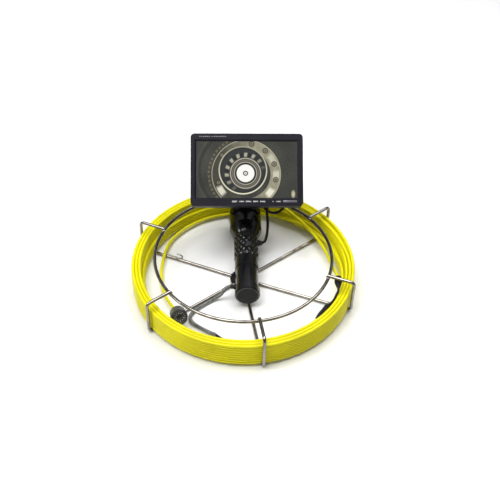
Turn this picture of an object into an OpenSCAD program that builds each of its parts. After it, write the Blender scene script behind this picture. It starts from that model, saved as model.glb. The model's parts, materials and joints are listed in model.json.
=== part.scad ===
// Push-rod pipe inspection camera: wire storage reel, coiled yellow push cable,
// camera head, and a torch-shaped handset that carries a tilting seven-inch monitor.
// Millimetres. The origin is the centre of the hub's underside, +Z is up, and +Y runs
// along the handset from its tail cap to its head.

/* [Reel frame] */
// Diameter of the chromed rod
rod_d = 5; // [4.5:0.5:5.5]
// Radius of the top ring's centreline
ring_r = 134; // [132:1:136]
// Height of the top ring's centreline
ring_z = 56; // [56:1:58]
// Number of bent arms
arm_count = 6; // [6:1:6]
// Azimuth of the first arm
arm_start = 37.5; // [37.5:0.5:38]
// Inside radius of each bend in an arm
bend_r = 4; // [3.5:0.5:4]
// Radius of the hub disc
hub_r = 20; // [18:1:22]
// Height of the hub disc
hub_h = 5.6; // [5.4:0.1:5.7]

/* [Push cable] */
// Diameter of the push cable
cable_d = 4.8; // [4.6:0.1:4.9]
// Height from one layer of turns to the next
layer_pitch = 4.95; // [4.9:0.01:5]
// Number of layers in the full columns
layers = 8; // [8:1:8]
// Number of layers in the short inner column
inner_layers = 4; // [4:1:4]
// Outer radius of the coil
coil_r = 170; // [168:1:172]

/* [Camera head] */
// Outer radius of the camera head
cam_r = 12; // [11:0.5:12.5]
// Length of the camera head's housing
cam_len = 27; // [26:1:28]

/* [Handset] */
// Side offset of the handset's axis from the reel's centre
handset_x = 5.4; // [5:0.1:6]
// Height of the handset's axis
handset_z = 26; // [26:0.1:26.4]
// Radius of the bare handle tube
tube_r = 17.25; // [17:0.05:17.5]
// Radius of the knurled grip
grip_r = 19; // [18.5:0.1:19.2]
// Radius of the head
head_r = 25.6; // [25:0.1:25.7]
// Where the tail cap starts, along the handset
tail_y = -57; // [-58:1:-56]
// Where the head ends
head_y = 128; // [127:0.5:128]

/* [Monitor] */
// Width of the monitor's case
mon_w = 171; // [168:1:174]
// Height of the monitor's case
mon_h = 111; // [109:1:113]
// Depth of the monitor's case
mon_t = 24; // [22:1:26]
// Width of the picture
screen_w = 154; // [150:1:156]
// Height of the picture
screen_h = 86.6; // [84:0.2:88]
// Elevation of the line that the screen faces along
mon_face = 48; // [46:1:50]

/* [Hidden] */
$fn = 48;

eps = 0.01;
rod_r = rod_d / 2;

// Reel: the arms' lower run lies on the floor and their top run lies on the ring. The
// arms are bent by hand, so each one stands a little off its even place round the hub.
arm_out = coil_r + 1.2 + rod_r;
arm_top_z = ring_z + rod_d - 0.4;
arm_trim = [-0.6, 0, -0.8, -0.6, 1.2, 0.8];
arm_in = ring_r - 1;
hub_weld = hub_r - 1;

// Coil: full columns outside, a short column inside, all standing on the arms. The free
// run to the camera head leaves from the short column's top.
coil_z = rod_d;
coil_h = cable_d + (layers - 1) * layer_pitch;
inner_h = cable_d + (inner_layers - 1) * layer_pitch;
column_in = coil_r - 3 * cable_d;
coil_in = coil_r - 4 * cable_d;

// Routes of the free runs of cable, as points on their centrelines.
head_run_route = [[152.2, -24, 26.8], [152.6, -4, 27], [147.8, 22, 27], [138, 52, 24],
    [124, 80, 21], [104, 105, 18], [78, 125, 15], [48, 139.5, 12], [14, 147.4, 9.5],
    [-22, 146.4, 7.8], [-59, 135.6, 7.4], [-94, 110.5, 7.4], [-116.8, 78.7, 7.4],
    [-124.9, 43.5, 7.4], [-127, 11, 7.4], [-124, -18, 7.4], [-118.6, -40, 7.4],
    [-111.6, -53.5, 7.4], [-106.2, -62.8, 7.4], [-102, -69.2, 7.7], [-99.9, -72, 8.8]];
plug_run_route = [[-10, 166, 45], [8, 164.4, 46.9], [24, 160, 47.1], [38, 154.5, 46.6],
    [50, 147.5, 46.4], [61, 139, 40.5], [72, 129, 35], [84, 116.5, 33], [97, 98.5, 33],
    [108, 80, 33.6], [117, 60.5, 35], [124.5, 40, 36.6], [129.6, 20, 39], [132.6, -2, 43.4],
    [134.9, -18, 47.2], [138, -32, 50], [140.4, -42.4, 50.8]];
pigtail_d = 3.6;
pigtail_route = [[138.8, -63, 50], [138.5, -66.6, 49.6], [137.6, -69.6, 47.4],
    [135.8, -70.8, 43.4], [134.8, -70.6, 38], [133.4, -69.6, 31], [131.9, -67.6, 24.6],
    [131, -65.4, 19], [132.2, -61.6, 14.4], [133.4, -57.4, 11.6], [132.6, -55.9, 9.6],
    [130.9, -58.4, 8.4]];
lead_d = 4;
lead_route = [[105.2, -95.7, 5.2], [98, -104.4, 4.2], [88, -111.8, 3], [74, -121, 2.4],
    [58, -129, 2.4], [42, -134.6, 2.6], [30, -137.4, 5], [18, -138.6, 7.5], [6, -138.6, 5],
    [-6, -136.4, 2.6], [-18, -131.4, 2.4], [-30, -123, 2.6], [-41, -113, 3.2]];
guard_d = 5.8;
guard_route = [[-41.4, -113.4, 3.3], [-50, -108.8, 3.3], [-60, -102.6, 3.3], [-70, -95.4, 3.3],
    [-77.2, -88, 3.3], [-80, -80.6, 3.3], [-78.4, -73.4, 3.3], [-73, -65.6, 3.3],
    [-63.6, -56.6, 3.3], [-53, -48.4, 3.3], [-43.6, -42, 4.6], [-35, -39.6, 9.6],
    [-30, -38.6, 17.5], [-25.4, -38.1, 24], [-20.4, -38, 26]];
monitor_lead_d = 4.4;
monitor_lead_route = [[31, 57, 26], [35.4, 60.6, 26], [38.4, 71, 26], [40.4, 85, 26.4],
    [41.4, 98, 29], [41, 106.4, 36], [40, 109.4, 45], [40.6, 109.8, 55], [44.4, 109.4, 63.4],
    [51, 109, 68.4], [58.4, 109, 68.6], [63.8, 109.4, 64], [65.8, 110.2, 56.6],
    [64, 111.6, 48.4], [58, 113, 41.8], [49.8, 114, 39.4], [41.4, 114.6, 43],
    [36, 115.2, 51], [34.6, 116, 62], [35, 117, 78], [36.4, 118, 96], [38, 118.4, 108],
    [36.4, 118, 116], [31.8, 117.5, 118.6], [26, 117.4, 118.6]];

// Camera head: its rear rests on one spoke and its front leans up beside the coil.
cam_at = [-99.4, -72.8, 8.8];
cam_turn = -80;
cam_rise = 37;
relief_len = 10;
bezel_len = 6;

// Plug: it is tucked under one arm, between the ring and the coil's top edge.
plug_at = [140.4, -42, 50.8];
plug_turn = -94.5;
plug_len = 22;
ring_len = 5;

// In-line connector: it lies on the floor against the coil's inner wall.
conn_at = [130.8, -58.6, 8.4];
conn_turn = -124.6;
conn_dip = 4;
conn_r = 6;

// Handset stations along +Y, from tail to head.
cap_front = -43;
collar_y = -4;
grip_y = 17.5;
bell_y = 68;
bell_end = 86;
core_r = 15.9;
bore_r = 13.6;
cell_r = 13.25;
cell_len = 65;
cell_start = -41;
head_wall = 2.2;
button_y = 36;
button_turn = 10;
cover_y = 59;
hinge_in = 4.4;

// Monitor: local X is to the right, local Y up the screen, local Z out of the screen.
mon_at = [handset_x, 92, 146.8];
mon_turn = 90 - mon_face;
bezel_t = 6;
lip_t = 2.4;
case_wall = 2.2;
case_r = 6;
screen_up = 0.5;
hinge_back = 38;
pivot = [handset_x, mon_at[1] + hinge_back * cos(mon_face),
    mon_at[2] - hinge_back * sin(mon_face)];
pin_r = 3;
pin_gap = 0.05;
post_w = 16;
post_t = 10;
ear_t = 4;
ear_gap = 0.3;
knob_x = post_w / 2 + ear_gap + ear_t + 0.4;
pin_left = knob_x + 10.6;
pin_right = post_w / 2 + ear_gap + ear_t - 0.3;
saddle_y = 118.4;
key_y = -48.7;
key_w = 9;
key_h = 4;
key_up = 0.8;
key_x = [-18.8, -8.2, 2.4, 13, 23.6];
power_x = 47.8;

// ---- shared geometry -------------------------------------------------------------

// A point on a smooth curve through p, at t from 0 to 1 between p[i] and p[i + 1].
function knot(p, i) = p[min(max(i, 0), len(p) - 1)];
function spline(p, i, t) =
    let (a = knot(p, i - 1), b = knot(p, i), c = knot(p, i + 1), d = knot(p, i + 2))
    0.5 * ((2 * b) + (c - a) * t + (2 * a - 5 * b + 4 * c - d) * t * t
        + (3 * b - a - 3 * c + d) * t * t * t);
function smooth_path(p, steps) = concat(
    [for (i = [0 : len(p) - 2]) for (s = [0 : steps - 1]) spline(p, i, s / steps)],
    [p[len(p) - 1]]);
function unit(v) = v / norm(v);
function heading(q, i) = unit(knot(q, i + 1) - knot(q, i - 1));
function across(t) = unit(cross(t, abs(t[2]) > 0.8 ? [0, 1, 0] : [0, 0, 1]));
function tube_rings(q, r, sides) = [for (i = [0 : len(q) - 1])
    let (t = heading(q, i), u = across(t), v = cross(t, u))
    for (k = [0 : sides - 1]) q[i] + r * (cos(360 * k / sides) * u + sin(360 * k / sides) * v)];
function tube_faces(n, sides) = concat(
    [[for (k = [0 : sides - 1]) k]],
    [for (i = [0 : n - 2]) for (k = [0 : sides - 1])
        let (a = i * sides + k, b = i * sides + (k + 1) % sides)
        [a, a + sides, b + sides, b]],
    [[for (k = [sides - 1 : -1 : 0]) (n - 1) * sides + k]]);

// A cable of diameter d swept along the route's points.
module cable_run(route, d, steps = 2, sides = 8) {
    q = smooth_path(route, steps);
    polyhedron(points = tube_rings(q, d / 2, sides), faces = tube_faces(len(q), sides),
        convexity = 8);
}

// A flat bar with round corners, standing on z = 0.
module slab(w, h, r, t) {
    linear_extrude(t) {
        square([w - 2 * r, h], center = true);
        square([w, h - 2 * r], center = true);
        for (x = [-1, 1], y = [-1, 1]) translate([x * (w / 2 - r), y * (h / 2 - r)]) circle(r);
    }
}

// Turned part: the outline is a list of [radius, height] points.
module turned(outline) rotate_extrude() polygon(outline);

// Places a part that is turned about +Z on the handset's axis.
module on_handset() translate([handset_x, 0, handset_z]) rotate([-90, 0, 0]) children();

// Places a part on a radius of the handset: y along it, turn from straight up.
module on_top(y, turn = 0) translate([handset_x, y, handset_z]) rotate([0, turn, 0]) children();

// Places a part on the monitor, on the camera head, on the plug and on the connector.
module on_monitor() translate(mon_at) rotate([mon_turn, 0, 0]) children();
module on_camera() translate(cam_at) rotate([0, 90 - cam_rise, cam_turn]) children();
module on_plug() translate(plug_at) rotate([0, 92, plug_turn]) children();
module on_connector() translate(conn_at) rotate([0, 90 + conn_dip, conn_turn]) children();

// ---- reel ------------------------------------------------------------------------

module hub_disc() {
    color("silver") turned([[0, 0], [hub_r - 1, 0], [hub_r, 1], [hub_r, hub_h - 1],
        [hub_r - 1, hub_h], [0, hub_h]]);
}

module top_ring() {
    color("silver") translate([0, 0, ring_z]) rotate_extrude($fn = 96)
        translate([ring_r, 0]) circle(rod_r);
}

// A quarter bend of rod in the XZ plane, centred at the origin, from -Z round to +X.
module bend(turn) {
    rotate([90, 0, 0]) rotate([0, 0, turn]) rotate_extrude(angle = 90)
        translate([bend_r + rod_r, 0]) circle(rod_r, $fn = 32);
}

function arm_azimuth(n) = arm_start + 360 / arm_count * (n - 1) + arm_trim[n - 1];

// One arm: spoke on the floor, upright outside the coil, top run in over the ring.
module reel_arm(n) {
    centre_r = bend_r + rod_r;
    low_z = rod_r;
    color("silver") rotate([0, 0, arm_azimuth(n)]) {
        translate([hub_weld, 0, low_z]) rotate([0, 90, 0])
            cylinder(r = rod_r, h = arm_out - centre_r - hub_weld, $fn = 32);
        translate([arm_out - centre_r, 0, low_z + centre_r]) bend(-90);
        translate([arm_out, 0, low_z + centre_r])
            cylinder(r = rod_r, h = arm_top_z - low_z - 2 * centre_r, $fn = 32);
        translate([arm_out - centre_r, 0, arm_top_z - centre_r]) bend(0);
        translate([arm_in, 0, arm_top_z]) rotate([0, 90, 0])
            cylinder(r = rod_r, h = arm_out - centre_r - arm_in, $fn = 32);
    }
}

// Small wire hook welded along one spoke, which keeps the stowed strand in.
module strand_hook() {
    wire_r = 1.3;
    turn_r = 4;
    color("silver") rotate([0, 0, arm_azimuth(3)]) translate([108, 0, rod_d + wire_r - 0.3]) {
        rotate([0, 90, 0]) cylinder(r = wire_r, h = 18, $fn = 24);
        translate([0, 0, turn_r]) rotate([90, 0, 0]) rotate([0, 0, 90])
            rotate_extrude(angle = 180) translate([turn_r, 0]) circle(wire_r, $fn = 24);
        translate([0, 0, 2 * turn_r]) rotate([0, 90, 0]) cylinder(r = wire_r, h = 5, $fn = 24);
    }
}

// ---- push cable and camera head ----------------------------------------------------

module push_cable_coil() {
    edge = cable_d / 2;
    top = coil_z + coil_h;
    color("yellow") rotate_extrude($fn = 128) polygon([
        [coil_in, coil_z], [coil_r - edge, coil_z], [coil_r, coil_z + edge],
        [coil_r, top - edge], [coil_r - edge, top], [column_in, top], [column_in, coil_z + inner_h],
        [coil_in, coil_z + inner_h]]);
}

module push_cable_head_run() color("yellow") cable_run(head_run_route, cable_d, 3);

module push_cable_plug_run() color("yellow") cable_run(plug_run_route, cable_d, 2);

module camera_strain_relief() {
    color("dimgray") on_camera() turned([[0, 0], [cable_d / 2 + 1.6, 0], [cam_r - 3, relief_len],
        [0, relief_len]]);
}

module camera_housing() {
    wall = 1.6;
    color("dimgray") on_camera() translate([0, 0, relief_len]) difference() {
        turned([[0, 0], [cam_r - 3, 0], [cam_r - 1, 1.4], [cam_r, 4], [cam_r, cam_len],
            [0, cam_len]]);
        translate([0, 0, 6]) cylinder(r = cam_r - wall, h = cam_len);
    }
}

module camera_bezel() {
    color("silver") on_camera() translate([0, 0, relief_len + cam_len]) difference() {
        turned([[0, 0], [cam_r, 0], [cam_r, bezel_len - 2], [cam_r - 2, bezel_len], [0, bezel_len]]);
        translate([0, 0, -1]) cylinder(r = cam_r - 3, h = bezel_len + 2);
        translate([0, 0, -1]) cylinder(r = cam_r - 2, h = bezel_len - 1);
    }
}

module camera_window() {
    color("lightblue") on_camera() translate([0, 0, relief_len + cam_len + bezel_len - 2.2])
        turned([[0, -1.4], [cam_r - 2.1, -1.4], [cam_r - 2.1, 0], [cam_r - 3.1, 0],
            [cam_r - 3.1, 1.6], [0, 1.6]]);
}

module camera_led_ring() {
    board_r = cam_r - 2;
    leds = 8;
    color("white") on_camera() translate([0, 0, relief_len + cam_len - 4]) {
        difference() {
            cylinder(r = board_r, h = 1.4);
            translate([0, 0, -1]) cylinder(r = 3.2, h = 4);
        }
        for (a = [0 : leds - 1]) rotate([0, 0, 360 / leds * a]) translate([6.6, 0, 1.4 - eps])
            cylinder(r = 1.3, h = 1.6, $fn = 24);
    }
}

module camera_sensor_board() {
    color("darkgreen") on_camera() translate([0, 0, relief_len + cam_len - 14]) {
        translate([-6.5, -6.5, 0]) cube([13, 13, 1.6]);
        translate([-4, -4, 1.6 - eps]) cube([8, 8, 3]);
        translate([0, 0, 4.5]) cylinder(r = 3, h = 8.5);
    }
}

module plug_body() {
    color("black") on_plug() turned([[0, 0], [3.6, 0], [5, 1.4], [5, 6], [3.4, 6 + eps],
        [3.4, 6 + ring_len], [5, 6 + ring_len + eps], [5, 13], [2.2, plug_len], [0, plug_len]]);
}

module plug_locking_ring() {
    color("black") on_plug() translate([0, 0, 6.15]) difference() {
        cylinder(r = 5.6, h = ring_len - 0.3);
        translate([0, 0, -1]) cylinder(r = 3.45, h = ring_len + 2);
        for (a = [0 : 30 : 330]) rotate([0, 0, a]) translate([5.9, 0, -1])
            cylinder(r = 0.6, h = ring_len + 2, $fn = 16);
    }
}

module pigtail_lead() color("black") cable_run(pigtail_route, pigtail_d, 2);

module connector_sleeve() {
    color("black") on_connector() turned([[0, 0], [2.6, 0], [conn_r - 1, 6], [conn_r, 7],
        [conn_r, 20], [3.6, 20 + eps], [3.6, 30], [0, 30]]);
}

module connector_nut() {
    color("black") on_connector() translate([0, 0, 20.15]) difference() {
        cylinder(r = conn_r + 0.4, h = 9.7);
        translate([0, 0, -1]) cylinder(r = 3.65, h = 12);
        for (a = [0 : 20 : 340]) rotate([0, 0, a]) translate([conn_r + 0.7, 0, -1])
            cylinder(r = 0.6, h = 12, $fn = 16);
    }
}

module connector_tail() {
    color("black") on_connector() translate([0, 0, 30]) turned([[0, 0], [conn_r, 0],
        [conn_r, 4], [conn_r - 1.6, 6], [2.8, 15], [0, 15]]);
}

module handset_lead() color("black") cable_run(lead_route, lead_d, 3);

module lead_spring_guard() color("gray") cable_run(guard_route, guard_d, 2, 10);

// ---- handset -----------------------------------------------------------------------

module lead_gland() {
    color("black") translate([handset_x - tube_r + 0.6, -38, handset_z]) rotate([0, -90, 0])
        turned([[0, 0], [4.4, 0], [4.4, 3], [3.4, 4], [3.2, 7.6], [0, 7.6]]);
}

module handle_tube() {
    color("black") on_handset() difference() {
        union() {
            translate([0, 0, tail_y + 4.3])
                cylinder(r = core_r - 0.05, h = cap_front - tail_y - 4.3 + eps);
            translate([0, 0, cap_front]) cylinder(r = tube_r, h = collar_y - cap_front);
            translate([0, 0, collar_y]) cylinder(r = core_r, h = 93 - collar_y);
        }
        translate([0, 0, tail_y]) cylinder(r = bore_r, h = 200);
        translate([0, 0, cap_front]) rotate_extrude() translate([tube_r - 1.6, 0]) circle(0.9);
    }
}

module handle_collar() {
    color("black") on_handset() difference() {
        turned([[0, collar_y], [17.6, collar_y], [18.2, collar_y + 0.6], [18.2, grip_y - 1.4],
            [17.6, grip_y - 0.8], [0, grip_y - 0.8]]);
        translate([0, 0, collar_y - 1]) cylinder(r = core_r, h = 30);
    }
}

module grip_sleeve() {
    rib = 6.2;
    ribs = floor((bell_y - grip_y - 3) / rib);
    color("black") difference() {
        on_handset() difference() {
            union() {
                translate([0, 0, grip_y]) cylinder(r = grip_r - 0.9, h = bell_y - grip_y);
                for (i = [0 : ribs - 1]) translate([0, 0, grip_y + 1.6 + rib * i])
                    turned([[0, 0], [grip_r - 0.9, 0], [grip_r, 1.2], [grip_r, rib - 2.2],
                        [grip_r - 0.9, rib - 1], [0, rib - 1]]);
            }
            translate([0, 0, grip_y - 1]) cylinder(r = core_r, h = 60);
        }
        on_top(button_y, button_turn) cylinder(r = 4.65, h = 40);
        on_top(cover_y) translate([0, 0, grip_r - 1.6]) slab(12.4, 9.4, 2, 4);
        on_top(cover_y) cylinder(r = 3.1, h = 30);
        on_top(cover_y + hinge_in) translate([-6, 0, grip_r - 0.6]) {
            rotate([0, 90, 0]) cylinder(r = 1.1, h = 12);
            translate([0, -1.1, 0]) cube([12, 2.4, 4]);
        }
    }
}

module head_shell() {
    color("black") difference() {
        on_handset() difference() {
            turned([[0, bell_y], [17.6, bell_y], [19.6, bell_y + 3.4], [21.8, bell_y + 8],
                [23.6, bell_y + 13], [head_r, bell_end], [head_r, head_y - 7], [0, head_y - 7]]);
            translate([0, 0, bell_y - 1]) cylinder(r = core_r, h = 60);
            translate([0, 0, bell_end + 7]) cylinder(r = head_r - head_wall, h = 60);
        }
        on_top(79) translate([-6.5, -0.8, 19]) cube([13, 1.6, 10]);
    }
}

module head_cap() {
    color("black") on_handset() turned([[0, head_y - 10], [head_r - head_wall, head_y - 10],
        [head_r - head_wall, head_y - 7], [head_r, head_y - 7], [head_r, head_y - 2],
        [head_r - 2, head_y], [0, head_y]]);
}

module tail_cap() {
    color("black") on_handset() difference() {
        turned([[0, tail_y], [17.4, tail_y], [19, tail_y + 1.6], [19, cap_front - 1.2],
            [18.4, cap_front - 0.3], [0, cap_front - 0.3]]);
        translate([0, 0, tail_y + 4]) cylinder(r = core_r, h = 20);
        translate([0, 0, tail_y - 1]) cylinder(r = 15.5, h = 2);
    }
}

module tail_pad() {
    color("dimgray") on_handset() turned([[0, tail_y], [15.2, tail_y], [15.5, tail_y + 0.4],
        [15.5, tail_y + 1], [0, tail_y + 1]]);
}

module tail_seal() {
    color("firebrick") on_handset() translate([0, 0, cap_front]) difference() {
        rotate_extrude() translate([tube_r - 1.6, 0]) circle(0.85);
        translate([0, 0, -2.2]) cylinder(r = 20, h = 2);
    }
}

module battery_cells() {
    color("royalblue") on_handset() for (i = [0 : 1])
        translate([0, 0, cell_start + i * (cell_len + 1.3)]) {
            cylinder(r = cell_r, h = cell_len - 1.2);
            translate([0, 0, cell_len - 1.2 - eps]) cylinder(r = 4, h = 1.2);
        }
}

// Conical contact spring, as a closed cone of its outer shape.
module battery_spring() {
    color("gold") on_handset() turned([[0, tail_y + 4], [10, tail_y + 4], [10, tail_y + 5.4],
        [5, cell_start - 0.2], [0, cell_start - 0.2]]);
}

module handle_board() {
    color("darkgreen") translate([handset_x, 95.5, handset_z]) {
        translate([-15, 0, -0.8]) cube([30, 20, 1.6]);
        translate([-8, 4, 0.8 - eps]) cube([14, 10, 6]);
        translate([2, 3, -5.8]) cube([8, 12, 5 + eps]);
    }
}

module power_button() {
    color("dimgray") on_top(button_y, button_turn) translate([0, 0, core_r + 1.5])
        turned([[0, 0], [4.6, 0], [4.6, 2.6], [3.9, 3.3], [0, 3]]);
}

module charge_socket() {
    color("dimgray") on_top(cover_y) translate([0, 0, core_r]) difference() {
        cylinder(r = 3.05, h = 1.4);
        translate([0, 0, 0.4]) cylinder(r = 1.8, h = 2);
    }
}

module charge_cover() {
    color("black") {
        on_top(cover_y) translate([0, 0, grip_r - 1.45]) slab(12, 9, 1.8, 1.6);
        on_top(cover_y + hinge_in) translate([-5.5, 0, grip_r - 0.6]) rotate([0, 90, 0])
            cylinder(r = 0.8, h = 11);
    }
}

module monitor_lead_gland() {
    color("black") translate([handset_x + grip_r - 1.2, 57, handset_z]) rotate([0, 90, 0])
        turned([[0, 0], [5, 0], [5, 3], [3.6, 4], [3.4, 7.6], [0, 7.6]]);
}

// ---- bracket -----------------------------------------------------------------------

module bracket_saddle() {
    color("black") difference() {
        union() {
            on_handset() difference() {
                translate([0, 0, saddle_y - 9]) cylinder(r = head_r + 2.6, h = 13);
                translate([0, 0, saddle_y - 10]) cylinder(r = head_r, h = 15);
            }
            translate([handset_x - 11, saddle_y - 9, handset_z + head_r - 2]) cube([22, 13, 10]);
        }
        on_handset() translate([0, 0, saddle_y - 10]) cylinder(r = head_r, h = 15);
        translate([handset_x - 40, saddle_y - 20, -20]) cube([80, 40, handset_z + 35]);
    }
}

module bracket_post() {
    foot_z = handset_z + head_r + 8;
    color("dimgray") difference() {
        union() {
            translate([handset_x - post_w / 2, pivot[1] - post_t / 2, foot_z])
                cube([post_w, post_t, pivot[2] - foot_z]);
            translate([handset_x - post_w / 2, pivot[1], pivot[2]]) rotate([0, 90, 0])
                cylinder(r = 8, h = post_w);
        }
        translate([handset_x - 20, pivot[1], pivot[2]]) rotate([0, 90, 0])
            cylinder(r = pin_r, h = 40);
    }
}

module tilt_pin() {
    color("silver") translate([pivot[0] - pin_left, pivot[1], pivot[2]]) rotate([0, 90, 0])
        cylinder(r = pin_r, h = pin_left + pin_right);
}

module tilt_knob() {
    color("black") translate([pivot[0] - knob_x, pivot[1], pivot[2]]) rotate([0, -90, 0])
        difference() {
            union() {
                cylinder(r = 5, h = 3);
                translate([0, 0, 3 - eps]) cylinder(r = 9, h = 9);
            }
            translate([0, 0, -1]) cylinder(r = pin_r + pin_gap, h = 12);
            for (a = [0 : 45 : 315]) rotate([0, 0, a]) translate([10.4, 0, 2])
                cylinder(r = 2.4, h = 12, $fn = 24);
        }
}

module mount_plate() {
    ear_x = post_w / 2 + ear_gap;
    color("dimgray") on_monitor() difference() {
        union() {
            translate([0, 0, -mon_t - 3]) slab(52, 44, 5, 3);
            for (s = [0, 1]) mirror([s, 0, 0]) translate([ear_x, 0, -hinge_back]) {
                rotate([0, 90, 0]) cylinder(r = 7, h = ear_t);
                translate([0, -7, 0]) cube([ear_t, 14, hinge_back - mon_t - 1]);
            }
        }
        translate([-30, 0, -hinge_back]) rotate([0, 90, 0])
            cylinder(r = pin_r + pin_gap, h = 60);
    }
}

// Lead outlet in line with the tilt axis, so the lead stays put as the monitor tilts.
module lead_elbow() {
    color("black") translate([pivot[0] + post_w / 2 + ear_gap + ear_t, pivot[1], pivot[2]])
        rotate([0, 90, 0]) turned([[0, 0], [5.6, 0], [5.6, 4], [3.6, 6], [3.4, 8], [0, 8]]);
}

module monitor_lead() color("black") cable_run(monitor_lead_route, monitor_lead_d, 2);

// ---- monitor -----------------------------------------------------------------------

module screw_places() {
    for (x = [-1, 1], y = [-1, 1]) translate([x * (mon_w / 2 - 9), y * (mon_h / 2 - 5), 0])
        children();
}

module monitor_back() {
    color("black") on_monitor() translate([0, 0, -mon_t]) difference() {
        union() {
            difference() {
                slab(mon_w, mon_h, case_r, mon_t - bezel_t);
                translate([0, 0, case_wall])
                    slab(mon_w - 2 * case_wall, mon_h - 2 * case_wall, case_r - case_wall, mon_t);
            }
            screw_places() cylinder(r = 3.4, h = mon_t - bezel_t);
        }
        screw_places() translate([0, 0, -1]) cylinder(r = 1.5, h = mon_t + 2);
        for (i = [0 : 6]) translate([-36 + 12 * i, 36, -1]) slab(8, 2.4, 1, 5);
    }
}

module monitor_bezel() {
    color("black") on_monitor() translate([0, 0, -bezel_t]) difference() {
        slab(mon_w, mon_h, case_r, bezel_t);
        translate([-screen_w / 2, screen_up - screen_h / 2, -1]) cube([screen_w, screen_h, 10]);
        translate([-84, screen_up - 48, -1]) cube([168, 96, bezel_t - lip_t + 1]);
        for (x = concat(key_x, [power_x])) translate([x, key_y, -1])
            slab(key_w + 0.3, key_h + 0.3, 1.2, 10);
        screw_places() translate([0, 0, -1]) cylinder(r = 1.5, h = 5);
    }
}

module lcd_panel() {
    color("darkslategray") on_monitor() translate([-82, screen_up - 46, -lip_t - 4.2])
        cube([164, 92, 4]);
}

module monitor_board() {
    color("darkgreen") on_monitor() {
        translate([-60, -30, -15]) cube([120, 56, 1.6]);
        translate([-20, -10, -13.4 - eps]) cube([24, 24, 2]);
        translate([20, -24, -13.4 - eps]) cube([12, 10, 4]);
        translate([-50, 0, -13.4 - eps]) cylinder(r = 5, h = 5);
    }
}

module monitor_key(x) {
    color("dimgray") on_monitor() translate([x, key_y, -lip_t - 0.8]) {
        slab(key_w, key_h, 1.1, lip_t + 0.8 + key_up);
    }
}

module monitor_screws() {
    color("silver") on_monitor() screw_places() translate([0, 0, -mon_t - 1.2]) {
        cylinder(r = 2.7, h = 1.2);
        translate([0, 0, 1.2 - eps]) cylinder(r = 1.45, h = 21);
    }
}

hub_disc();
top_ring();
reel_arm(1);  // reel_arm_1
reel_arm(2);  // reel_arm_2
reel_arm(3);  // reel_arm_3
reel_arm(4);  // reel_arm_4
reel_arm(5);  // reel_arm_5
reel_arm(6);  // reel_arm_6
strand_hook();
push_cable_coil();
push_cable_head_run();
push_cable_plug_run();
camera_strain_relief();
camera_housing();
camera_bezel();
camera_window();
camera_led_ring();
camera_sensor_board();
plug_body();
plug_locking_ring();
pigtail_lead();
connector_sleeve();
connector_nut();
connector_tail();
handset_lead();
lead_spring_guard();
lead_gland();
handle_tube();
handle_collar();
grip_sleeve();
head_shell();
head_cap();
tail_cap();
tail_pad();
tail_seal();
battery_cells();
battery_spring();
handle_board();
power_button();
charge_socket();
charge_cover();
monitor_lead_gland();
bracket_saddle();
bracket_post();
tilt_pin();
tilt_knob();
mount_plate();
lead_elbow();
monitor_lead();
monitor_back();
monitor_bezel();
lcd_panel();
monitor_board();
monitor_key(key_x[0]);  // monitor_key_1
monitor_key(key_x[1]);  // monitor_key_2
monitor_key(key_x[2]);  // monitor_key_3
monitor_key(key_x[3]);  // monitor_key_4
monitor_key(key_x[4]);  // monitor_key_5
monitor_key(power_x);  // monitor_power_key
monitor_screws();
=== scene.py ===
"""Looks of a push-rod pipe inspection camera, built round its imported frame.

Lengths in the tables below are millimetres in the frame of the CAD model: +Z is up and
+Y runs along the handset from its tail cap to its head.
"""
import json
import math

import bmesh
import bpy
from mathutils import Matrix, Vector, noise


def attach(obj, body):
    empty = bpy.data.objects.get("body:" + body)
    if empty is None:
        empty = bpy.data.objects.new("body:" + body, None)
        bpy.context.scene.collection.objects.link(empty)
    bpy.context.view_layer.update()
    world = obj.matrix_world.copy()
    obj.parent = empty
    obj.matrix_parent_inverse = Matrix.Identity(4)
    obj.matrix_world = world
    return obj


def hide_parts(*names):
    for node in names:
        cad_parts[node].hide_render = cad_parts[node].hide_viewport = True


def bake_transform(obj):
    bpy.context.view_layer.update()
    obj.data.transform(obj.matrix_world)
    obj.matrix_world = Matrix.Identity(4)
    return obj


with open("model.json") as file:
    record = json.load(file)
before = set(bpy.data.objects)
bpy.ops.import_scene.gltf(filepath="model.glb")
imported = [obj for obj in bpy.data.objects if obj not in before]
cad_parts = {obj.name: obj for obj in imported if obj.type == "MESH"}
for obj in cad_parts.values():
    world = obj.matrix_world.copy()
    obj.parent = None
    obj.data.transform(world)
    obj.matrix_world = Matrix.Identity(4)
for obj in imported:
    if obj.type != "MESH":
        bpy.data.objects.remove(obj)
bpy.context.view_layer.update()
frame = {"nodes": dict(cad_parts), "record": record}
nodes = frame["nodes"]
MM = 0.001
scene = bpy.context.scene

# Places shared with the CAD model, in millimetres and degrees.
HANDSET_X, HANDSET_Z = 5.4, 26
CAMERA_TURN, CAMERA_RISE = -80, 37
RING_R, HUB_R = 134, 20
ARM_START, ARM_TRIM = 37.5, (-0.6, 0, -0.8, -0.6, 1.2, 0.8)
GLAND_Y = -38


# ---- camera ----------------------------------------------------------------------------

def place_camera():
    """A long lens that looks down on the reel from in front of the handset's tail cap."""
    elevation, turn, roll = math.radians(44.24), math.radians(-2.5), math.radians(1.7)
    distance, target = 1.2725, Vector((0.00964, -0.00042, 0.0665))
    turned = Matrix.Rotation(turn, 4, "Z") @ Matrix.Rotation(math.pi / 2 - elevation, 4, "X")
    data = bpy.data.cameras.new("camera")
    data.sensor_width = 36
    data.lens = 60.81
    data.clip_start = 0.05
    data.clip_end = 30
    camera = bpy.data.objects.new("camera", data)
    scene.collection.objects.link(camera)
    back = turned @ Vector((0, 0, distance))
    camera.matrix_world = (
        Matrix.Translation(target + back) @ turned @ Matrix.Rotation(roll, 4, "Z"))
    scene.camera = camera


# ---- shader groups and finishes ----------------------------------------------------------

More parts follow.
